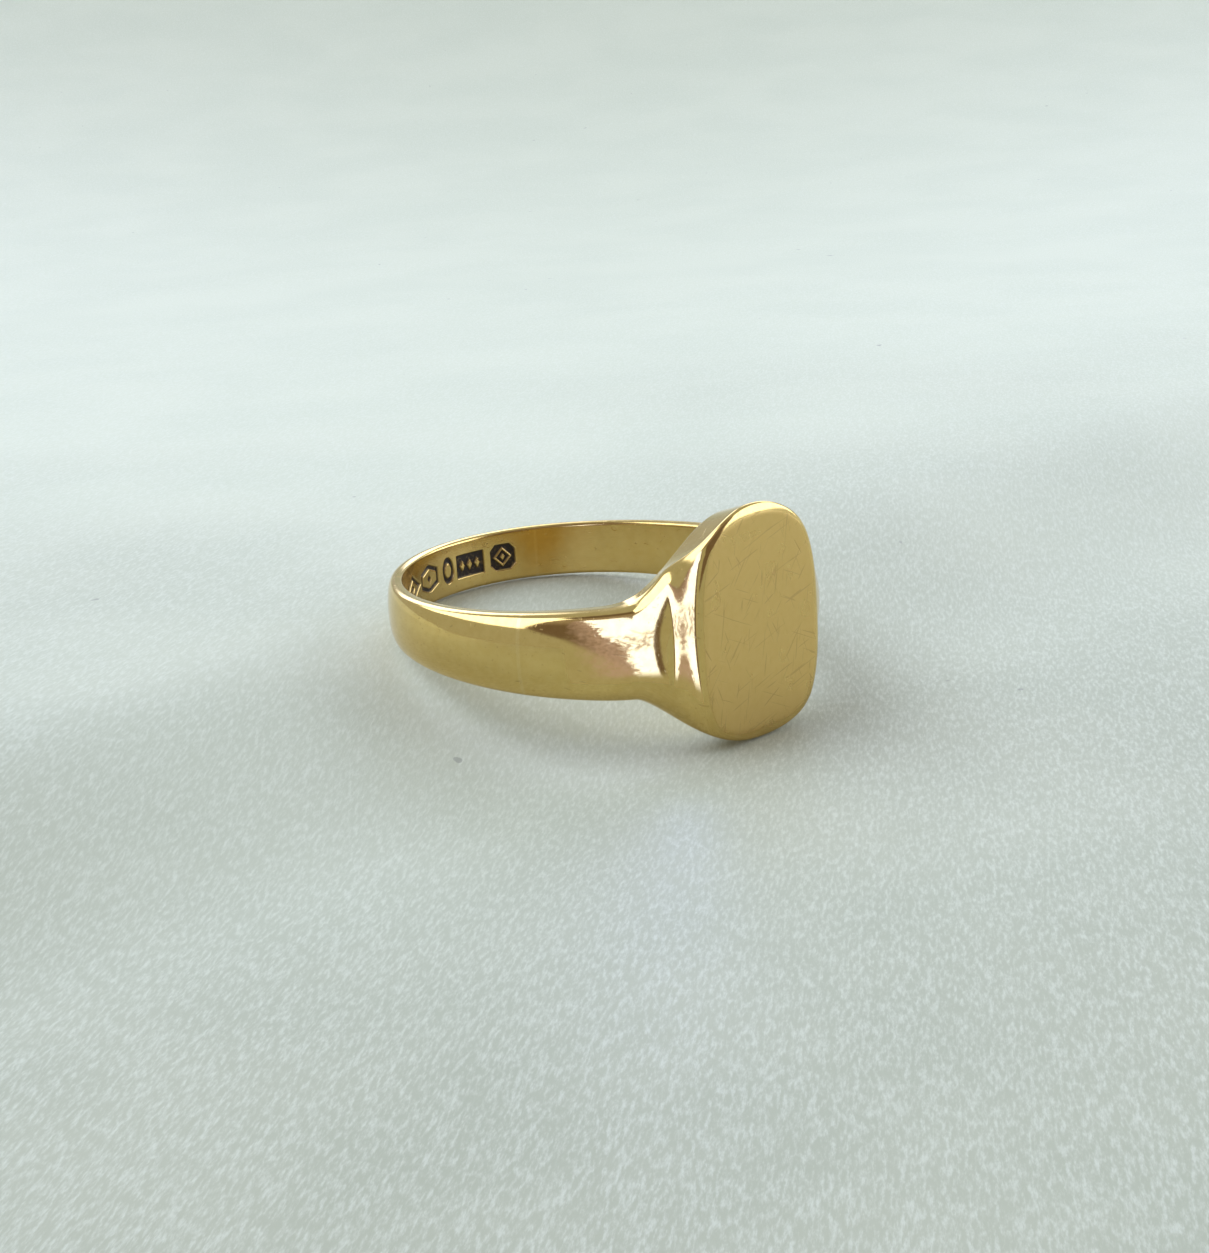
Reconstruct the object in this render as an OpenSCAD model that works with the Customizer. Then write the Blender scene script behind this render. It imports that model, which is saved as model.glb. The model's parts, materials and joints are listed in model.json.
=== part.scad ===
// Signet ring with a cushion-shaped flat face and a tapering band.
// The origin is the centre of the finger bore. +Z runs along the bore and +X points out of the face.
// Angles round the ring start at the face, at +X, and grow towards +Y.

/* [Finger bore] */
// Diameter of the finger bore
bore_d = 17.5; // [15:0.1:21]

/* [Signet face] */
// Height of the flat face above the bore's wall
face_rise = 2.05; // [2:0.05:3]
// Width of the flat face, round the finger
face_width = 7.3; // [6:0.1:8]
// Length of the flat face, along the finger
face_length = 10.1; // [8:0.1:10.3]
// Squareness of the face's outline: 2 is an oval, and higher values are squarer
face_squareness = 3; // [2:0.1:5]
// Reach of the rolled edge round the face, as a share of the face's half width
edge_roll = 0.36; // [0.3:0.02:0.6]

/* [Head] */
// Height of the head along the finger, outside
head_height = 10.6; // [10.4:0.1:12]
// Height of the head along the finger, at the bore
head_bore_height = 9.4; // [7:0.1:9.6]
// Angle at which the head's outer edge has run out into the band
head_reach = 33; // [30:0.5:45]
// Angle at which the head's bore edge has run out into the band
head_bore_reach = 43; // [30:0.5:45]

/* [Band] */
// Width of the band at the back
back_width = 2.7; // [2:0.1:5]
// Width that the band tapers up to behind the head
front_width = 4.5; // [4:0.1:6]
// Distance by which each edge of the bore wall lies inside the band's width
bore_inset = 0.08; // [0:0.01:0.3]
// Thickness of the band at the middle of the back
back_thickness = 0.65; // [0.6:0.05:1.5]
// Thickness that the middle of the band tapers up to behind the head
front_thickness = 2.2; // [1.3:0.05:2.2]
// Thickness of the band's edges at the back
back_edge = 0.35; // [0.2:0.05:0.5]
// Thickness that the band's edges taper up to behind the head
front_edge = 1; // [0.5:0.05:1.2]
// Distance by which the band meets the head below the head's middle
band_drop = 0.7; // [0:0.05:0.8]

/* [Solder joints] */
// Angle of the two joints between the shoulders and the shank
shoulder_joint = 61; // [50:1:75]
// Angle of the joint that closes the shank
closing_joint = 155; // [100:1:158]
// Thickness of the solder in each joint
solder_gap = 0.14; // [0.08:0.01:0.3]

/* [Punched marks] */
// Depth of the marks in the bore wall
mark_depth = 0.12; // [0.05:0.01:0.2]
// Height of a mark along the finger
mark_height = 1.3; // [0.8:0.1:1.6]

/* [Hidden] */
$fn = 180;
bore_r = bore_d / 2;
face_x = bore_r + face_rise;
gold = [0.72, 0.60, 0.33];
solder = [0.78, 0.70, 0.48];
// Exponents of the head's outline: how full it is near the face, and how softly it runs out
head_fullness = 2.2;
head_runout = 1.6;
bore_runout = 3.65;
// Exponents of the tapers, from the head to the back
width_taper = 2;
thickness_taper = 1.6;
edge_taper = 1.4;
// Exponent of the band's domed section
dome_power = 2.2;
// Angle from the face beyond which there is only plain band
plain_from = 60;
// Height by which the head is drawn above its flat face, before the face is cut
face_allowance = 0.12;
// Depth by which a section reaches into the bore, before the bore is cut
bore_allowance = 0.12;
// Step between sections round the ring, and steps across the band
turn_step = 2;
cross_steps = 20;
// Half the angle that the solder in a joint takes up at the bore
half_gap = solder_gap / 2 / bore_r * 180 / PI;
// Angle, number of sides and width of each mark
mark_angles = [167, 180, 190, 200.5, 213];
mark_sides = [8, 4, 24, 6, 4];
mark_widths = [1.5, 2.5, 0.8, 1.6, 1.9];
// Distance inside the bore's wall at which a punch is drawn from
punch_reach = 1;

// Share of the way from the back of the ring, 0, to the face, 1
function front(a) = (1 + cos(a)) / 2;

// Angle away from the face, from 0 to 180
function away(a) = abs((a + 180) % 360 - 180);

// Share of the head's flare that is left at angle a
function flare(a, reach, runout) =
    away(a) >= reach ? 0 : pow(1 - pow(away(a) / reach, head_fullness), runout);

// Value that tapers from front_value to back_value
function taper(a, back_value, front_value, power) =
    back_value + (front_value - back_value) * pow(front(a), power);

// Half width of the plain band
function band_half(a) = taper(a, back_width, front_width, width_taper) / 2;

// Half width of the outer surface, between its edges
function half_width(a) =
    band_half(a) + (head_height - front_width) / 2 * flare(a, head_reach, head_runout);

// Half width of the bore wall
function half_bore(a) =
    band_half(a) - bore_inset
    + ((head_bore_height - front_width) / 2 + bore_inset) * flare(a, head_bore_reach, bore_runout);

// Thickness at the edges and at the middle of the band
function edge(a) = taper(a, back_edge, front_edge, edge_taper);
function thickness(a) = taper(a, back_thickness, front_thickness, thickness_taper);

// Height of the section's middle
function middle(a) = -band_drop * front(a) * (1 - flare(a, head_bore_reach, bore_runout));

// Radius of the plain domed band at angle a, where u runs from -1 to 1 across it
function band_radius(a, u) =
    bore_r + edge(a) + (thickness(a) - edge(a)) * sqrt(1 - min(1, pow(abs(u), dome_power)));

// Place of a point against the face's outline: 1 is on the outline, and more is outside
function outline(y, z) =
    pow(pow(abs(y) / (face_width / 2), face_squareness)
        + pow(abs(z) / (face_length / 2), face_squareness), 1 / face_squareness);

// Share of the rise from the band to the face. It falls from 1 to 0 outside the outline,
// in an S-curve that starts where the rise of drop meets the plane of the face
function rise(q, drop) =
    let (start = acos((drop - face_allowance) / (drop + face_allowance)) / 180)
    let (x = start + (1 - start) * (q - 1) / edge_roll)
    (1 + cos(180 * min(1, max(0, x)))) / 2;

// Radius of the outer surface, with the head's face drawn above the band
function outer_radius(a, u) =
    let (plain = band_radius(a, u))
    let (drop = max(face_allowance, face_x - plain * cos(a)))
    let (q = outline(face_x * tan(a), u * half_width(a)))
    away(a) > plain_from || q > 1 + edge_roll ? plain
    : (face_x - drop + (drop + face_allowance) * rise(q, drop)) / cos(a);

// Points of the section at angle a: the two bore edges, and the outer surface between them
function section(a) =
    let (w = half_width(a))
    let (b = half_bore(a))
    let (side = outer_radius(a, 1) - bore_r)
    let (inner_r = bore_r - bore_allowance)
    let (inner_z = b - (w - b) * bore_allowance / side)
    concat(
        [[inner_r, inner_z]],
        [for (i = [0:cross_steps])
            let (u = cos(180 * i / cross_steps))
            [outer_radius(a, u), u * w]],
        [[inner_r, -inner_z]]);

// Points of a section, turned to its angle round the ring
function placed(a) =
    [for (p = section(a)) [p[0] * cos(a), p[0] * sin(a), p[1] + middle(a)]];

// A stretch of the ring between two angles, before the bore and the face are cut
module stretch(from, to) {
    turns = max(1, ceil((to - from) / turn_step));
    count = cross_steps + 3;
    points = [for (t = [0:turns]) each placed(from + (to - from) * t / turns)];
    walls = [for (t = [0:turns - 1]) for (i = [0:count - 1])
        let (p = t * count + i)
        let (q = t * count + (i + 1) % count)
        each [[p, p + count, q], [q, p + count, q + count]]];
    first = [for (i = [0:cross_steps / 2])
        let (j = count - 1 - i)
        each [[i, i + 1, j], if (j - i > 2) [i + 1, j - 1, j]]];
    last = [for (f = first) [for (i = [2, 1, 0]) turns * count + f[i]]];
    polyhedron(points, concat(first, walls, last));
}

// The finger bore
module bore() {
    cylinder(h = 2 * head_height, r = bore_r, center = true);
}

// A stretch of plain band with its bore cut
module band_part(from, to) {
    difference() {
        stretch(from, to);
        bore();
    }
}

// Outline of a punch with n sides
module sided(n, width) {
    points = [for (i = [0:n - 1])
        [width / 2 * sin(360 * (i + 0.5) / n), mark_height / 2 * cos(360 * (i + 0.5) / n)]];
    polygon(points);
}

// The row of plain geometric marks, sunk in the back of the bore wall
module marks() {
    for (i = [0:len(mark_angles) - 1])
        rotate([0, 0, mark_angles[i]])
        translate([bore_r - punch_reach, 0, middle(mark_angles[i])])
        rotate([90, 0, 90])
        linear_extrude(punch_reach + mark_depth)
        sided(mark_sides[i], mark_widths[i]);
}

// Head with its flat face and both shoulders
module signet_head() {
    reach = shoulder_joint - half_gap;
    color(gold)
    difference() {
        stretch(-reach, reach);
        bore();
        translate([face_x, -head_height, -head_height])
        cube(2 * head_height);
    }
}

// Back of the band and its near side, with the punched marks
module near_shank() {
    color(gold)
    difference() {
        stretch(closing_joint + half_gap, 360 - shoulder_joint - half_gap);
        bore();
        marks();
    }
}

// Far side of the band
module far_shank() {
    color(gold) band_part(shoulder_joint + half_gap, closing_joint - half_gap);
}

// Solder in the joint at angle a
module solder_joint(a) {
    color(solder) band_part(a - half_gap, a + half_gap);
}

// Solder between the near shoulder and the shank
module near_shoulder_solder() {
    solder_joint(360 - shoulder_joint);
}

// Solder between the far shoulder and the shank
module far_shoulder_solder() {
    solder_joint(shoulder_joint);
}

// Solder that closes the shank beside the marks
module closing_solder() {
    solder_joint(closing_joint);
}

signet_head();
near_shank();
far_shank();
near_shoulder_solder();
far_shoulder_solder();
closing_solder();
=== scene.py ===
import json
import math

import bpy
import numpy as np
from mathutils import Matrix, Vector


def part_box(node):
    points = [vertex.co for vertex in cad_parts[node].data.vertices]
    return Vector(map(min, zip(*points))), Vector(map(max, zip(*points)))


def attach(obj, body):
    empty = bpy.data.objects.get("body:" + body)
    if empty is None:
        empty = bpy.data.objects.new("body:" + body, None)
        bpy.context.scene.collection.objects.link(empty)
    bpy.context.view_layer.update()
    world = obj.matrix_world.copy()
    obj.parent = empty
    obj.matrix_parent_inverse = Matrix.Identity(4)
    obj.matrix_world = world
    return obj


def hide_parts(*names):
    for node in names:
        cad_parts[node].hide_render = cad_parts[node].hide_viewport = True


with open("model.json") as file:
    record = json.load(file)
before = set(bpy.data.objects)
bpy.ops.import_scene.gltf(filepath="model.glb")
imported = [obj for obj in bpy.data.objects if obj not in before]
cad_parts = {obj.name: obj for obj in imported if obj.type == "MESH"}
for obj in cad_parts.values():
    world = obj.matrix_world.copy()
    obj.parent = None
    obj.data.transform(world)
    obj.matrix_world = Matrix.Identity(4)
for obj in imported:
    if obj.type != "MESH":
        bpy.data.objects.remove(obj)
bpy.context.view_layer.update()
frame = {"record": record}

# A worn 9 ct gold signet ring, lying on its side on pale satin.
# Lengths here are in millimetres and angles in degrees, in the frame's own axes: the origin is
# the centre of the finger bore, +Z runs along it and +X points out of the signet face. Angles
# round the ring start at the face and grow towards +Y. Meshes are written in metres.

MM = 0.001
mounts = {m["name"]: m for m in frame["record"]["mounts"]}


def box_mm(node):
    """Lowest and highest corner of a CAD node, in millimetres."""
    low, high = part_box(node)
    return np.array(low) / MM, np.array(high) / MM


def new_object(name, data):
    """An object in the scene."""
    made = bpy.data.objects.new(name, data)
    bpy.context.scene.collection.objects.link(made)
    return made


# ---------------------------------------------------------------- driving dimensions

BORE_R = mounts["finger_bore"]["dims"]["r_mm"]
FACE_X = mounts["signet_face"]["pos_m"][0] / MM
HEAD_LOW, HEAD_HIGH = box_mm("signet_head")
HEAD_HALF = (HEAD_HIGH[2] - HEAD_LOW[2]) / 2
HEAD_BORE_HALF = mounts["finger_bore"]["dims"]["length_mm"] / 2
BACK_THICKNESS = -box_mm("near_shank")[0][0] - BORE_R

# The flat face: half its width and length, its squareness and the reach of its rolled edge
FACE_HALF_WIDTH = 3.65
FACE_HALF_LENGTH = 5.05
FACE_SQUARENESS = 3.0
EDGE_ROLL = 0.36
# Height by which the head is drawn above its flat face, before the face is cut, and the rounding
# of the face's edge as a share of that height
FACE_LIFT = 0.12
FACE_ROUNDING = 0.9
# The band: half widths at the back and behind the head, and how far the bore wall's edges lie in
BACK_HALF = 1.35
FRONT_HALF = 2.25
BORE_INSET = 0.08
# Thicknesses of the band's middle and edges
FRONT_THICKNESS = 2.2
BACK_EDGE = 0.35
FRONT_EDGE = 1.0
# Distance by which the band meets the head below the head's middle
BAND_DROP = 0.7
# Where the head's edges run out into the band, and how
HEAD_REACH = 33.0
HEAD_BORE_REACH = 43.0
HEAD_FULLNESS = 2.2
HEAD_RUNOUT = 1.6
BORE_RUNOUT = 3.65
WIDTH_TAPER = 2.0
THICKNESS_TAPER = 1.6
EDGE_TAPER = 1.4
DOME_POWER = 2.2
# Angle from the face beyond which there is only plain band
PLAIN_FROM = 60.0
# Solder joints
SHOULDER_JOINT = 61.0
CLOSING_JOINT = 155.0
SOLDER_GAP = 0.14
HALF_GAP = math.degrees(SOLDER_GAP / 2 / BORE_R)
# Reach of the rounding along each side of an edge: at the bore's rims, and at the outer edges,
# where it is a share of the edge's thickness. Then the steps across each rounding
RIM_CUT = 0.13
ARRIS_SHARE = 0.4
RIM_STEPS, ARRIS_STEPS = 6, 10
# Punched marks: their depth, the width of their sloping sides, their height, the angles at which
# they stand and the stretch of the bore wall that holds them
MARK_DEPTH = 0.1
MARK_SLOPE = 0.05
MARK_HEIGHT = 1.3
SQUARE_AT, PLATE_AT, OVAL_AT, HEXAGON_AT, LOZENGE_AT = 167.0, 180.0, 190.0, 200.5, 213.0
MARKS_FROM, MARKS_TO = 160.0, 222.0


# ---------------------------------------------------------------- shape of the ring

def front(a):
    """Share of the way from the back of the ring, 0, to the face, 1."""
    return (1 + np.cos(np.radians(a))) / 2


def away(a):
    """Angle away from the face, from 0 to 180."""
    return np.abs((a + 180) % 360 - 180)


def flare(a, reach, runout):
    """Share of the head's flare that is left at angle a."""
    inside = np.clip(1 - (away(a) / reach) ** HEAD_FULLNESS, 0, 1)
    return inside ** runout


def taper(a, back, behind_head, power):
    """Value that tapers from behind_head to back."""
    return back + (behind_head - back) * front(a) ** power


def band_half(a):
    """Half width of the plain band."""
    return taper(a, BACK_HALF, FRONT_HALF, WIDTH_TAPER)


def half_width(a):
    """Half width of the outer surface, between its edges."""
    return band_half(a) + (HEAD_HALF - FRONT_HALF) * flare(a, HEAD_REACH, HEAD_RUNOUT)


def half_bore(a):
    """Half width of the bore wall."""
    spread = HEAD_BORE_HALF - FRONT_HALF + BORE_INSET
    return band_half(a) - BORE_INSET + spread * flare(a, HEAD_BORE_REACH, BORE_RUNOUT)


def edge(a):
    return taper(a, BACK_EDGE, FRONT_EDGE, EDGE_TAPER)


def thickness(a):
    return taper(a, BACK_THICKNESS, FRONT_THICKNESS, THICKNESS_TAPER)


def middle(a):
    """Height of the section's middle."""
    return -BAND_DROP * front(a) * (1 - flare(a, HEAD_BORE_REACH, BORE_RUNOUT))


def softer_min(a, b, width):
    """The lower of a and b, with the corner between them rounded over width."""
    h = np.clip(0.5 + (b - a) / (2 * width), 0, 1)
    return b + (a - b) * h - width * h * (1 - h)


def outer_radius(a, u):
    """Radius of the outer surface at angle a, where u runs from -1 to 1 across the ring."""
    dome = np.sqrt(np.clip(1 - np.abs(u) ** DOME_POWER, 0, 1))
    plain = BORE_R + edge(a) + (thickness(a) - edge(a)) * dome
    near = away(a) < PLAIN_FROM
    cos_a = np.where(near, np.cos(np.radians(a)), 1.0)
    tan_a = np.where(near, np.tan(np.radians(np.where(near, a, 0))), 1.0)
    drop = np.maximum(FACE_X - plain * cos_a, FACE_LIFT)
    y, z = np.abs(FACE_X * tan_a), np.abs(u) * half_width(a)
    q = ((y / FACE_HALF_WIDTH) ** FACE_SQUARENESS
         + (z / FACE_HALF_LENGTH) ** FACE_SQUARENESS) ** (1 / FACE_SQUARENESS)
    # The rise to the face is an S-curve that starts where it meets the plane of the face
    start = np.arccos(np.clip((drop - FACE_LIFT) / (drop + FACE_LIFT), -1, 1)) / math.pi
    x = np.clip(start + (1 - start) * (q - 1) / EDGE_ROLL, 0, 1)
    rise = (1 + np.cos(math.pi * x)) / 2
    height = FACE_X - drop + (drop + FACE_LIFT) * rise
    headed = softer_min(height, FACE_X, FACE_ROUNDING * FACE_LIFT) / cos_a
    return np.where(near & (q < 1 + EDGE_ROLL), headed, plain)


def rounded(before, point, after, cut, n):
    """Rounds a corner: n + 1 points of a curve that leaves each side at most cut from the point.

    It uses up at most longest of a side.
    """
    longest = 0.8

    def along(other):
        d = other - point
        length = np.linalg.norm(d, axis=-1, keepdims=True)
        return point + d / length * np.minimum(cut, length * longest)
    t = np.linspace(0, 1, n + 1)[:, None, None]
    return (1 - t) ** 2 * along(before) + 2 * t * (1 - t) * point + t ** 2 * along(after)


def between(p, q, n):
    """The n - 1 points inside the straight line from p to q, closer together at its ends."""
    crowding = 0.6
    t = np.linspace(0, 1, n + 1)[1:-1, None, None]
    t = t + ((1 - np.cos(math.pi * t)) / 2 - t) * crowding
    return p + (q - p) * t


def sections(angles, crown=64, flank=10, wall=40):
    """Closed loops of (radius, height) points, shaped (angles, points, 2).

    crown, flank and wall are the steps across the outer surface, each side and the bore wall.
    """
    a = np.asarray(angles, float)
    w, b = half_width(a), half_bore(a)
    u = np.cos(math.pi * np.linspace(0, 1, crown + 1))[:, None]
    outer = np.stack([outer_radius(a[None], u), u * w[None]], -1)
    top = np.stack([np.full_like(a, BORE_R), b], -1)
    low = np.stack([np.full_like(a, BORE_R), -b], -1)
    # The rounded edges replace the outer surface's steps as far as skip, and are half as wide
    # on the head
    skip = crown // 8
    cut = (ARRIS_SHARE * edge(a) * (1 - flare(a, HEAD_REACH, 1) / 2))[:, None]
    top_edge = rounded(top, outer[0], outer[skip], cut, ARRIS_STEPS)
    low_edge = rounded(outer[-1 - skip], outer[-1], low, cut, ARRIS_STEPS)
    low_rim = rounded(outer[-1], low, top, RIM_CUT, RIM_STEPS)
    top_rim = rounded(low, top, outer[0], RIM_CUT, RIM_STEPS)
    loop = np.concatenate([
        top_edge, outer[skip + 1:-1 - skip], low_edge,
        between(low_edge[-1], low_rim[0], flank), low_rim,
        between(low_rim[-1], top_rim[0], wall), top_rim,
        between(top_rim[-1], top_edge[0], flank),
    ])
    loop[..., 1] += middle(a)
    return np.swapaxes(loop, 0, 1)


def ring_mesh(name, angles, change=None, **steps):
    """A closed mesh of the ring between the first and last of the angles.

    change, if given, takes angles, radii and heights and returns new radii and a float
    attribute for each point, which the materials read as "tarnish".
    """
    angles = np.asarray(angles, float)
    loops = sections(angles, **steps)
    r, z = loops[..., 0], loops[..., 1]
    tarnish = np.zeros_like(r)
    if change:
        r, tarnish = change(angles[:, None] + 0 * r, r, z)
    c, s = np.cos(np.radians(angles))[:, None], np.sin(np.radians(angles))[:, None]
    count, size = r.shape
    points = np.stack([r * c, r * s, z], -1).reshape(-1, 3) * MM
    i = np.arange(count - 1)[:, None] * size
    j = np.arange(size)[None]
    k = (j + 1) % size
    quads = np.stack([i + j, i + k, i + size + k, i + size + j], -1).reshape(-1, 4)
    mesh = bpy.data.meshes.new(name)
    ends = [list(reversed(range(size))), [(count - 1) * size + n for n in range(size)]]
    mesh.from_pydata(points.tolist(), [], quads.tolist() + ends)
    mesh.polygons.foreach_set("use_smooth", [True] * len(quads) + [False] * 2)
    pairs = np.empty(len(mesh.edges) * 2, int)
    mesh.edges.foreach_get("vertices", pairs)
    pairs = pairs.reshape(-1, 2)
    last = (count - 1) * size
    capped = (pairs < size).all(axis=1) | (pairs >= last).all(axis=1)
    sharp = mesh.attributes.new("sharp_edge", "BOOLEAN", "EDGE")
    sharp.data.foreach_set("value", capped)
    layer = mesh.attributes.new("tarnish", "FLOAT", "POINT")
    layer.data.foreach_set("value", tarnish.astype(np.float32).ravel())
    mesh.update()
    return new_object(name, mesh)


def spaced(start, end, step):
    """Angles from start to end, about step apart."""
    return np.linspace(start, end, max(3, round((end - start) / step)) + 1)


# ---------------------------------------------------------------- punched marks

# Each outline gives the distance outside a shape of half width w and half height h, in
# millimetres, and is negative inside it

def lozenge(x, z, w, h):
    return (np.abs(x) / w + np.abs(z) / h - 1) * w * h / math.hypot(w, h)


def oblong(x, z, w, h):
    return np.maximum(np.abs(x) - w, np.abs(z) - h)


def canted(x, z, w, h):
    """An oblong with its corners cut off."""
    corners = (np.abs(x) + np.abs(z) - (w + h) * 0.78) / math.sqrt(2)
    return np.maximum(oblong(x, z, w, h), corners)


def oval(x, z, w, h):
    return (np.hypot(x / w, z / h) - 1) * min(w, h)


def hexagon(x, z, w, h):
    roofs = (np.abs(x) / w * 0.5 + np.abs(z) / h - 1.08) * h * 0.8
    return np.maximum(oblong(x, z, w, h), roofs)


def groove(outline, x, z, w, h, width=0.17):
    """A groove that follows the inside of an outline."""
    return np.abs(outline(x, z, w, h) + width / 2) - width / 2


def punched(a, r, z):
    """Sinks the row of plain geometric marks into the bore wall."""
    h = MARK_HEIGHT / 2
    z = z - middle(a)

    def along(centre):
        return np.radians(a - centre) * BORE_R
    x = along(SQUARE_AT)
    raised = np.minimum(lozenge(x, z, 0.14, 0.18), groove(lozenge, x, z, 0.52, 0.5, 0.1))
    square = np.maximum(canted(x, z, 0.7, h), -raised)
    x = along(PLATE_AT)
    raised = np.minimum.reduce([lozenge(x - step, z, 0.17, 0.27) for step in (-0.48, 0, 0.48)])
    plate = np.maximum(oblong(x, z, 0.88, h * 0.88), -raised)
    x = along(OVAL_AT)
    hoop = groove(oval, x, z, 0.4, h)
    x = along(HEXAGON_AT)
    six_sided = np.minimum(groove(hexagon, x, z, 0.8, h), lozenge(x, z, 0.16, 0.2))
    x = along(LOZENGE_AT)
    four_sided = np.minimum(groove(lozenge, x, z, 0.95, h), lozenge(x, z, 0.2, 0.2))
    outside = np.minimum.reduce([square, plate, hoop, six_sided, four_sided])
    sunk = np.clip(0.5 - outside / MARK_SLOPE, 0, 1)
    on_bore_wall = np.abs(r - BORE_R) < 1e-6
    sunk = sunk * sunk * (3 - 2 * sunk) * on_bore_wall
    return r + MARK_DEPTH * sunk, sunk


# ---------------------------------------------------------------- pieces

def build_pieces(materials):
    """One mesh for each CAD node, over the same stretch of the ring."""
    s, c, g = SHOULDER_JOINT, CLOSING_JOINT, HALF_GAP
    coarse, on_head, on_marks = 0.5, 0.35, 0.18
    marked = np.concatenate([spaced(c + g, MARKS_FROM, coarse)[:-1],
                             spaced(MARKS_FROM, MARKS_TO, on_marks),
                             spaced(MARKS_TO, 360 - s - g, coarse)[1:]])
    stretches = {
        "signet_head": ("gold", spaced(-s + g, s - g, on_head), {}),
        "far_shank": ("gold", spaced(s + g, c - g, coarse), {}),
        "near_shank": ("gold", marked, {"change": punched, "crown": 48, "wall": 84}),
        "far_shoulder_solder": ("solder", spaced(s - g, s + g, coarse), {}),
        "near_shoulder_solder": ("solder", spaced(360 - s - g, 360 - s + g, coarse), {}),
        "closing_solder": ("solder", spaced(c - g, c + g, coarse), {}),
    }
    for node, (slot, angles, steps) in stretches.items():
        piece = ring_mesh("worn_" + node, angles, **steps)
        piece.data.materials.append(materials[slot])
        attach(piece, "root")
        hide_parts(node)


# ---------------------------------------------------------------- view

# The camera's direction and tilt, its distance, the height of its view at the ring, and how far
# the middle of the view lies from the bore's centre
AZ, EL, ROLL = 47.13, 15.06, -3.57
DISTANCE = 101.5
VIEW_HEIGHT = 58.87
SIDEWAYS, UPWARDS = 0.651, -1.82


def toward(azimuth, elevation):
    """Unit vector at an azimuth from +X towards +Y and an elevation, in degrees."""
    a, e = math.radians(azimuth), math.radians(elevation)
    return Vector((math.cos(a) * math.cos(e), math.sin(a) * math.cos(e), math.sin(e)))


# ---------------------------------------------------------------- materials

# Colours of the gold, the solder, the gold's worn face, its scratches and the dirt in its marks
GOLD = (0.70, 0.50, 0.18)
SOLDER = (0.73, 0.535, 0.215)
WORN_FACE = (0.56, 0.37, 0.12, 1)
SCRATCH = (0.32, 0.2, 0.07, 1)
DIRT = (0.022, 0.014, 0.008, 1)
# Roughness that the face, the bore wall, a scratch and dirt add to the polish
FACE_ROUGHNESS, BORE_ROUGHNESS, SCRATCH_ROUGHNESS, DIRT_ROUGHNESS = 0.2, 0.1, 0.09, 0.4
# Scratches: their direction in degrees, lines to a millimetre, the cut in the noise above which
# there is a scratch, and their length in millimetres
FACE_SCRATCHES = [((24, 0, 0), 9, 0.70, 3.0), ((-52, 0, 0), 8, 0.69, 2.5),
                  ((68, 0, 0), 10, 0.695, 2.0), ((-18, 0, 0), 7, 0.69, 3.5),
                  ((100, 0, 0), 8, 0.70, 2.5), ((-80, 0, 0), 9, 0.70, 1.6)]
DEEP_SCRATCHES = [((58, 0, 0), 5, 0.72, 2.6), ((-32, 0, 0), 5, 0.72, 2.8)]
BAND_SCRATCHES = [((35, 20, 40), 7, 0.72, 2.0), ((-40, 30, -30), 8, 0.72, 1.6)]

# The cloth's two colours near the camera, darkened as painted shade, and far from it, lightened
# as painted light; its bright threads and its specks
SHADED_NEAR_SATIN = (0.38, 0.405, 0.30, 1), (0.43, 0.45, 0.335, 1)
LIT_FAR_SATIN = (0.64, 0.69, 0.535, 1), (0.675, 0.72, 0.56, 1)
THREAD = (0.82, 0.86, 0.74, 1)
SPECK = (0.2, 0.2, 0.17, 1)

# Light from the surroundings. Gold swallows most of the blue, so white highlights need blue light
CLOTH_LIGHT = (0.56, 0.61, 0.59, 1)
NEAR_CLOTH = (0.52, 0.56, 0.52, 1)
SKY = (0.52, 0.56, 0.55, 1)
DARK_ROOM = (0.21, 0.17, 0.16, 1)
CEILING = (0.42, 0.38, 0.40, 1)
DAYLIGHT = (3.0, 3.25, 4.0, 1)
PINK_HAZE = (0.66, 0.58, 0.90, 1)
PANE_LIGHT = (2.4, 2.9, 5.5, 1)


def add(tree, kind, inputs=None, out=0, **settings):
    """Adds a node, links or sets its inputs, and returns one of its outputs."""
    made = tree.nodes.new("ShaderNode" + kind)
    for key, value in settings.items():
        setattr(made, key, value)
    for key, value in (inputs or {}).items():
        if isinstance(value, bpy.types.NodeSocket):
            tree.links.new(value, made.inputs[key])
        else:
            made.inputs[key].default_value = value
    return made.outputs[out]


def calc(tree, operation, a, b=0.0):
    return add(tree, "Math", {0: a, 1: b}, operation=operation)


def product(tree, a, b):
    return calc(tree, "MULTIPLY", a, b)


def total(tree, values):
    result = values[0]
    for value in values[1:]:
        result = calc(tree, "ADD", result, value)
    return result


def ramp(tree, value, low, high, to_low=0.0, to_high=1.0):
    """Moves value from low..high to to_low..to_high, with soft ends."""
    return add(tree, "MapRange", {"Value": value, "From Min": low, "From Max": high,
                                  "To Min": to_low, "To Max": to_high},
               interpolation_type="SMOOTHSTEP")


def mixed(tree, share, a, b):
    """A colour that runs from a to b as share runs from 0 to 1."""
    return add(tree, "Mix", {0: share, 6: a, 7: b}, out=2, data_type="RGBA")


def noise(tree, place, scale, detail=2.0, roughness=0.5):
    return add(tree, "TexNoise", {"Vector": place, "Scale": scale, "Detail": detail,
                                  "Roughness": roughness})


def place_mm(tree):
    """Place on the object, in millimetres."""
    return add(tree, "VectorMath", {0: add(tree, "TexCoord", out=3), 3: 1 / MM},
               operation="SCALE")


def stretched(tree, place, turn, scale):
    """Place turned by angles in degrees, then scaled along each axis."""
    turned = add(tree, "VectorRotate",
                 {"Vector": place, "Rotation": [math.radians(v) for v in turn]},
                 rotation_type="EULER_XYZ")
    return add(tree, "VectorMath", {0: turned, 1: scale}, operation="MULTIPLY")


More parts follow.
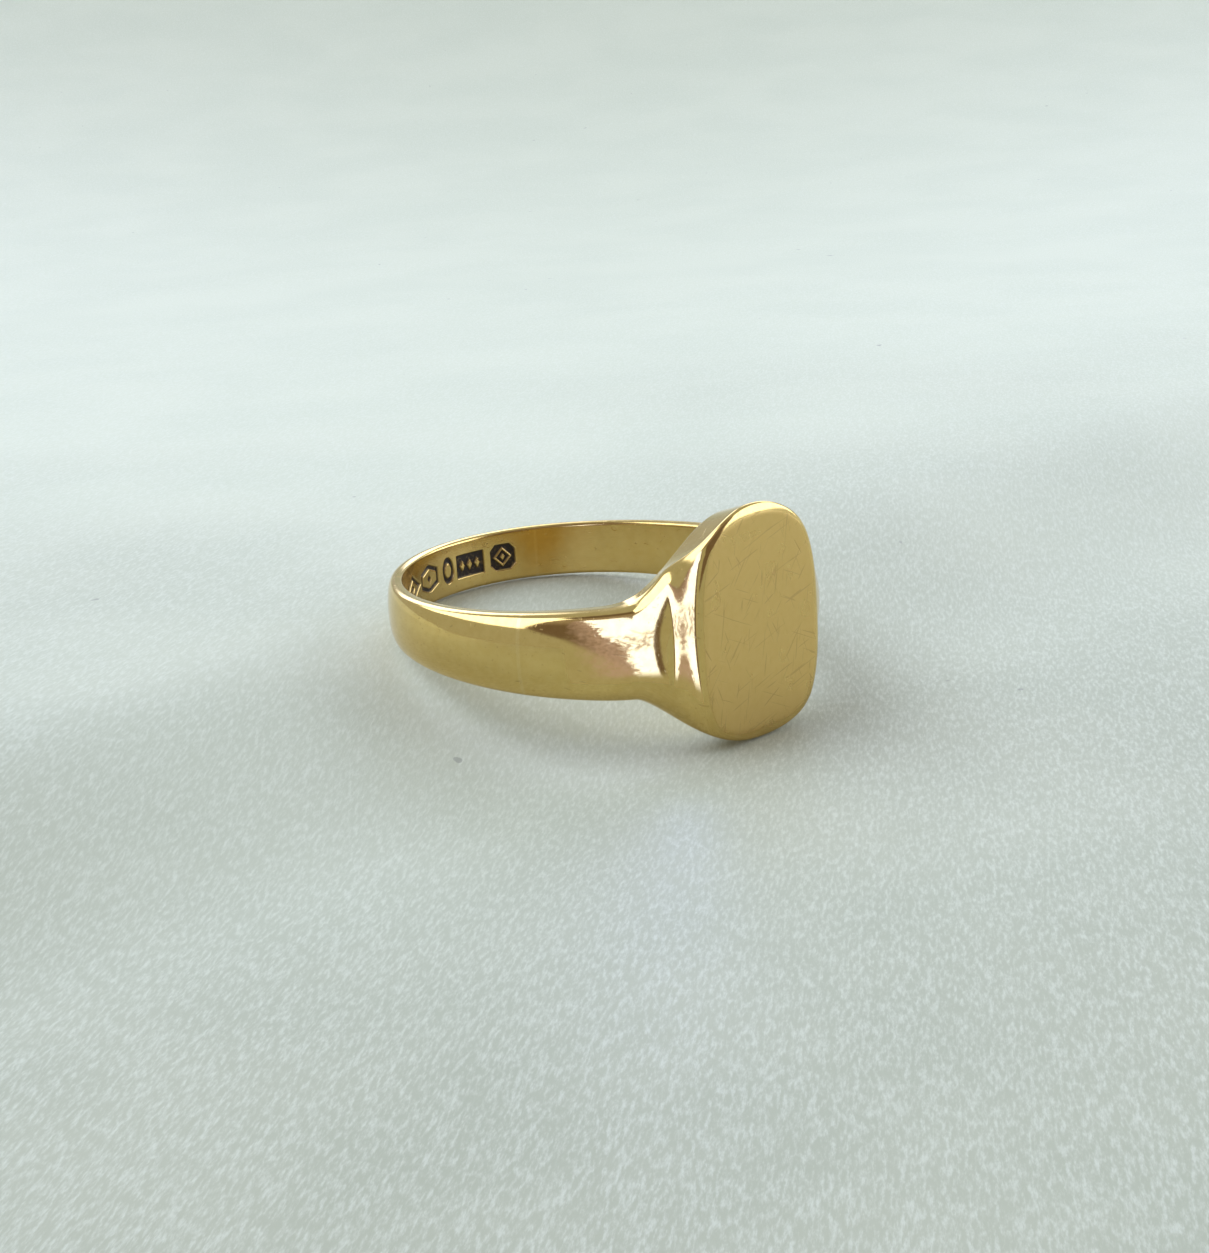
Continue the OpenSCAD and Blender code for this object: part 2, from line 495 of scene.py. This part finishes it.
def scratches(tree, place, kinds):
    """Short scratches of several kinds: 1 or more on a scratch and 0 off it."""
    edge_softness = 0.03
    found = []
    for turn, fine, share, length in kinds:
        lines = noise(tree, stretched(tree, place, turn, (fine, 1 / length, fine)), 1.0, 1.0)
        found.append(ramp(tree, lines, share, share + edge_softness))
    return total(tree, found)


def new_material(name):
    """A material with its node tree."""
    material = bpy.data.materials.new(name)
    material.use_nodes = True
    return material, material.node_tree


def add_relief(tree, heights, strength):
    """Bumps the surface by the sum of heights, in micrometres."""
    normal = add(tree, "Bump", {"Strength": strength, "Distance": 1e-6,
                                "Height": total(tree, heights)})
    tree.links.new(normal, tree.nodes["Principled BSDF"].inputs["Normal"])


def worn_metal(name, color, polish, pits):
    """Polished gold with wear: a scratched, duller face, ripples, hairlines and dirty marks.

    polish is its roughness, and pits the fineness of its grain.
    """
    material, tree = new_material(name)
    shader = tree.nodes["Principled BSDF"]
    place = place_mm(tree)
    x = add(tree, "SeparateXYZ", {0: place}, out=0)
    face = ramp(tree, x, FACE_X - 0.024, FACE_X - 0.008)
    off_face = calc(tree, "SUBTRACT", 1.0, face)
    level = add(tree, "VectorMath", {0: place, 1: (1, 1, 0)}, operation="MULTIPLY")
    radius = add(tree, "VectorMath", {0: level}, out=1, operation="LENGTH")
    bore_wall = ramp(tree, radius, BORE_R + 0.06, BORE_R + 0.02)

    # Scratches on the face run every way, and the finest lines on the band run round it
    marks = total(tree, [
        product(tree, face, scratches(tree, place, FACE_SCRATCHES)),
        product(tree, product(tree, face, 2.0), scratches(tree, place, DEEP_SCRATCHES)),
        product(tree, off_face, scratches(tree, place, BAND_SCRATCHES)),
    ])
    round_lines = noise(tree, stretched(tree, place, (0, 0, 0), (0.25, 0.25, 16)), 1.0, 3.0, 0.7)
    dents = ramp(tree, noise(tree, place, 1.7, 1.0), 0.74, 0.80)
    soft = noise(tree, place, 0.9, 2.0)
    ripple = noise(tree, place, 2.6, 3.0, 0.55)
    grain = noise(tree, place, pits, 3.0, 0.6)
    tarnish = add(tree, "Attribute", attribute_name="tarnish", out=2)
    dirt = product(tree, tarnish, ramp(tree, grain, 0.2, 0.5, 0.75, 1.0))

    rough = total(tree, [
        ramp(tree, soft, 0.3, 0.7, polish * 0.8, polish * 1.3),
        product(tree, face, FACE_ROUGHNESS),
        product(tree, bore_wall, BORE_ROUGHNESS),
        product(tree, marks, SCRATCH_ROUGHNESS),
        product(tree, dirt, DIRT_ROUGHNESS),
    ])
    tree.links.new(rough, shader.inputs["Roughness"])

    deeper = (color[0] * 0.95, color[1] * 0.93, color[2] * 0.86, 1)
    shade = mixed(tree, ramp(tree, ripple, 0.3, 0.75), (*color, 1), deeper)
    shade = mixed(tree, product(tree, face, 0.5), shade, WORN_FACE)
    shade = mixed(tree, product(tree, calc(tree, "MINIMUM", marks, 1.0), 0.3), shade, SCRATCH)
    shade = mixed(tree, dirt, shade, DIRT)
    tree.links.new(shade, shader.inputs["Base Color"])
    metallic = calc(tree, "SUBTRACT", 1.0, product(tree, dirt, 0.75))
    tree.links.new(metallic, shader.inputs["Metallic"])

    add_relief(tree, [
        product(tree, soft, 5.0),
        product(tree, product(tree, ripple, off_face), 2.2),
        product(tree, grain, 0.25),
        product(tree, round_lines, 0.5),
        product(tree, marks, -1.2),
        product(tree, dents, -2.5),
    ], 1.0)
    return material


def satin():
    """Pale satin cloth: a fine diagonal weave with a soft sheen, and painted shade that darkens
    it towards the camera.
    """
    material, tree = new_material("satin")
    shader = tree.nodes["Principled BSDF"]
    place = place_mm(tree)
    weave = noise(tree, stretched(tree, place, (0, 0, -38), (7.0, 1.6, 1)), 1.0, 3.0, 0.7)
    blotch = ramp(tree, noise(tree, place, 0.06, 2.0), 0.3, 0.7)
    folds = noise(tree, place, 0.025, 1.0)
    # Painted shade: the colour runs from the darker near pair to the lighter far pair with
    # distance from the camera, and the folds bend this into soft painted bands of light and shade
    depth = add(tree, "VectorMath", {0: place, 1: toward(AZ + 105, 0)}, out=1,
                operation="DOT_PRODUCT")
    depth = calc(tree, "ADD", depth, ramp(tree, folds, 0.3, 0.7, -16.0, 16.0))
    shade = mixed(tree, ramp(tree, depth, -70, 85), mixed(tree, blotch, *SHADED_NEAR_SATIN),
                  mixed(tree, blotch, *LIT_FAR_SATIN))
    shade = mixed(tree, ramp(tree, weave, 0.4, 0.75, 0.0, 0.36), shade, THREAD)
    specks = ramp(tree, noise(tree, place, 0.55, 2.0), 0.77, 0.8, 0.0, 0.5)
    shade = mixed(tree, specks, shade, SPECK)
    tree.links.new(shade, shader.inputs["Base Color"])
    tree.links.new(ramp(tree, weave, 0.3, 0.7, 0.62, 0.48), shader.inputs["Roughness"])
    add_relief(tree, [product(tree, weave, 22.0), product(tree, folds, 400.0)], 0.8)
    shader.inputs["Specular IOR Level"].default_value = 0.2
    shader.inputs["Sheen Weight"].default_value = 0.15
    return material


def add_light(tree, kind, color, target):
    """Makes color the light of a tree: kind is its shader node and target its output node."""
    light = add(tree, kind, {"Color": color, "Strength": 1.0})
    tree.links.new(light, tree.nodes[target].inputs["Surface"])


# The light card beside the near shoulder: how far its bright pane and its frame lean over, in
# millimetres for each millimetre up, where the frame's near bar starts and ends, and the softness
# of the bar's edges
PANE_LEAN, FRAME_LEAN = 0.3, 0.2
BAR_FROM, BAR_TO = 2.5, 3.2
BAR_SOFTNESS = 0.15


def window_light(width, height, middle_z):
    """Light of the card beside the near shoulder: a bright, ragged pane in a dark frame.

    Across is in millimetres from the card's middle and grows towards the face. Level is the
    height above the middle of the face.
    """
    material, tree = new_material("pane")
    tree.nodes.remove(tree.nodes["Principled BSDF"])
    parts = tree.nodes.new("ShaderNodeSeparateXYZ")
    tree.links.new(add(tree, "TexCoord", out=3), parts.inputs[0])
    across = product(tree, parts.outputs[0], -width)
    level = calc(tree, "ADD", product(tree, parts.outputs[1], height), middle_z)
    place = add(tree, "CombineXYZ", {0: across, 1: level})
    ragged = ramp(tree, noise(tree, place, 1.6, 4.0, 0.7), 0.3, 0.7, -0.6, 0.6)
    pane_across = total(tree, [across, product(tree, level, PANE_LEAN), ragged])
    frame_across = calc(tree, "ADD", across, product(tree, level, FRAME_LEAN))

    # The pane starts further across below its middle, and worn patches dull it near its middle
    stepped = calc(tree, "SUBTRACT", pane_across, ramp(tree, level, 1.2, -0.5, 0.0, 0.9))
    patches = ramp(tree, noise(tree, place, 1.9, 4.0, 0.7), 0.47, 0.53)
    from_middle = calc(tree, "ABSOLUTE", calc(tree, "SUBTRACT", level, 0.4))
    worn = product(tree, product(tree, patches, ramp(tree, from_middle, 1.4, 0.7)), 0.85)
    pane = product(tree, ramp(tree, stepped, -0.5, -0.3), calc(tree, "SUBTRACT", 1.0, worn))
    mottled = ramp(tree, noise(tree, place, 3.2, 3.0, 0.6), 0.35, 0.6, 0.55, 1.0)
    haze = product(tree, ramp(tree, pane_across, -3.6, -0.6), mottled)
    inside = ramp(tree, frame_across, BAR_FROM + BAR_SOFTNESS, BAR_FROM)
    bar = product(tree, ramp(tree, frame_across, BAR_FROM, BAR_FROM + BAR_SOFTNESS),
                  ramp(tree, frame_across, BAR_TO, BAR_TO - BAR_SOFTNESS))

    room = ramp(tree, calc(tree, "ADD", product(tree, across, 0.75), level), -2.3, -1.2)
    shade = mixed(tree, room, NEAR_CLOTH, DARK_ROOM)
    shade = mixed(tree, product(tree, haze, inside), shade, PINK_HAZE)
    shade = mixed(tree, product(tree, pane, inside), shade, PANE_LIGHT)
    shade = mixed(tree, ramp(tree, frame_across, 2.9, 3.1), shade, NEAR_CLOTH)
    shade = mixed(tree, bar, shade, DARK_ROOM)
    shade = mixed(tree, ramp(tree, level, -3.0, -4.4), shade, NEAR_CLOTH)
    add_light(tree, "Emission", shade, "Material Output")
    return material


# ---------------------------------------------------------------- stage

# The floor: its reach, the distance at which it starts to rise behind the ring and how slowly it
# rises, its steps each way, and the share of them that stay evenly spread
FLOOR_REACH, RISE_FROM, RISE_SLOWNESS = 400.0, 120.0, 1300.0
FLOOR_STEPS = 160
EVEN_SHARE = 0.12
# The light card: a point on the near shoulder, the card's distance from it, its direction from
# there, its width and its top
SHOULDER = (9.0, -6.5, 0)
CARD_GAP = 3.0
CARD_AZ = AZ - 92
CARD_WIDTH, CARD_TOP = 8.0, 9.0
# Windows and the dark room, from azimuth to azimuth and from elevation to elevation, and the
# softness of their edges
WINDOWS = [(-182, -91, 32, 76, 2), (34, 78, 0, 34, 3), (100, 136, 20, 38, 3),
           (-218, -190, 20, 38, 3)]
ROOM = (-91, 36, -4, 85, 2)


def add_floor():
    """Cloth under the ring: it slopes from the back of the band down to the head.

    It also rises gently in the distance behind the ring.
    """
    back_z, head_z = -BACK_HALF - 0.03, HEAD_LOW[2] - 0.02
    from_x, to_x = -BORE_R - 0.6, FACE_X - 0.3
    n = FLOOR_STEPS + 1
    t = np.linspace(-1, 1, n)
    line = np.sign(t) * (EVEN_SHARE * np.abs(t) + (1 - EVEN_SHARE) * np.abs(t) ** 3) * FLOOR_REACH
    x, y = np.meshgrid(line, line, indexing="ij")
    share = np.clip((x - from_x) / (to_x - from_x), 0, 1)
    share = share * share * (3 - 2 * share)
    into_view = toward(AZ + 90, 0)
    behind = np.clip(into_view[0] * x + into_view[1] * y, 0, None) / FLOOR_REACH
    rise = np.clip(np.hypot(x, y) - RISE_FROM, 0, None) ** 2 / RISE_SLOWNESS * behind
    z = back_z + (head_z - back_z) * share + rise
    points = np.stack([x, y, z], -1).reshape(-1, 3) * MM
    i = (np.arange(n - 1)[:, None] * n + np.arange(n - 1)[None]).ravel()
    faces = np.stack([i, i + n, i + n + 1, i + 1], -1)
    mesh = bpy.data.meshes.new("floor")
    mesh.from_pydata(points.tolist(), [], faces.tolist())
    mesh.polygons.foreach_set("use_smooth", [True] * len(faces))
    mesh.materials.append(satin())
    new_object("floor", mesh)


def add_light_card():
    """A small glowing card beside the near shoulder, seen only where the gold mirrors it."""
    low, high = HEAD_LOW[2], CARD_TOP
    middle_z = (low + high) / 2
    out = toward(CARD_AZ, 0)
    spot = Vector(SHOULDER) + out * CARD_GAP
    spot.z = middle_z
    facing = -out
    side = Vector((0, 0, 1)).cross(facing)
    up = facing.cross(side)
    mesh = bpy.data.meshes.new("pane")
    mesh.from_pydata([(-0.5, -0.5, 0), (0.5, -0.5, 0), (0.5, 0.5, 0), (-0.5, 0.5, 0)], [],
                     [(0, 1, 2, 3)])
    mesh.materials.append(window_light(CARD_WIDTH, high - low, middle_z))
    card = new_object("pane", mesh)
    axes = Matrix((side * CARD_WIDTH * MM, up * (high - low) * MM, facing)).transposed()
    card.matrix_world = Matrix.Translation(spot * MM) @ axes.to_4x4()
    card.visible_camera = False
    card.visible_diffuse = False
    card.visible_shadow = False


def add_surroundings():
    """Light from all round: windows on several sides, and a dark room behind the camera."""
    world = bpy.data.worlds.new("surroundings")
    world.use_nodes = True
    tree = world.node_tree
    tree.nodes.remove(tree.nodes["Background"])
    # Azimuths are taken from the camera's, so that they jump only behind the ring
    ahead = 90 - AZ
    turned = add(tree, "VectorRotate", {"Vector": add(tree, "TexCoord", out=0),
                                        "Rotation": (0, 0, math.radians(ahead))},
                 rotation_type="EULER_XYZ")
    parts = tree.nodes.new("ShaderNodeSeparateXYZ")
    tree.links.new(turned, parts.inputs[0])
    azimuth = product(tree, calc(tree, "ARCTAN2", parts.outputs[1], parts.outputs[0]),
                      math.degrees(1))
    elevation = product(tree, calc(tree, "ARCSINE", parts.outputs[2]), math.degrees(1))

    def patch(az_from, az_to, low, high, soft):
        share = ramp(tree, azimuth, az_from + ahead - soft, az_from + ahead + soft)
        for side in (ramp(tree, azimuth, az_to + ahead + soft, az_to + ahead - soft),
                     ramp(tree, elevation, low - soft, low + soft),
                     ramp(tree, elevation, high + soft, high - soft)):
            share = product(tree, share, side)
        return share

    # The dark room's lower edge comes down from the left
    slanted = calc(tree, "ADD", elevation, product(tree, azimuth, 0.85))
    room = product(tree, patch(*ROOM), ramp(tree, slanted, -10, -4))
    room_light = mixed(tree, ramp(tree, elevation, 42, 60), DARK_ROOM, CEILING)
    shade = mixed(tree, room, SKY, room_light)
    for window in WINDOWS:
        shade = mixed(tree, patch(*window), shade, DAYLIGHT)
    shade = mixed(tree, ramp(tree, elevation, 75, 79), shade, DARK_ROOM)
    shade = mixed(tree, ramp(tree, elevation, -0.5, -2.5), shade, CLOTH_LIGHT)
    add_light(tree, "Background", shade, "World Output")
    bpy.context.scene.world = world


def add_camera():
    a, e, r = (math.radians(v) for v in (AZ, EL, ROLL))
    back = Vector((math.sin(a) * math.cos(e), -math.cos(a) * math.cos(e), math.sin(e)))
    right = Vector((math.cos(a), math.sin(a), 0))
    up = back.cross(right)
    x = right * math.cos(r) + up * math.sin(r)
    y = up * math.cos(r) - right * math.sin(r)
    place = back * DISTANCE + x * SIDEWAYS + y * UPWARDS
    data = bpy.data.cameras.new("camera")
    data.lens = data.sensor_width * DISTANCE / VIEW_HEIGHT
    data.clip_start, data.clip_end = 0.001, 10
    camera = new_object("camera", data)
    axes = Matrix((x, y, back)).transposed().to_4x4()
    camera.matrix_world = Matrix.Translation(place * MM) @ axes
    bpy.context.scene.camera = camera


# ---------------------------------------------------------------- scene

build_pieces({"gold": worn_metal("gold", GOLD, 0.09, 7.0),
              "solder": worn_metal("solder", SOLDER, 0.12, 12.0)})
add_floor()
add_light_card()
add_surroundings()
add_camera()
bpy.context.scene.view_settings.view_transform = "Standard"
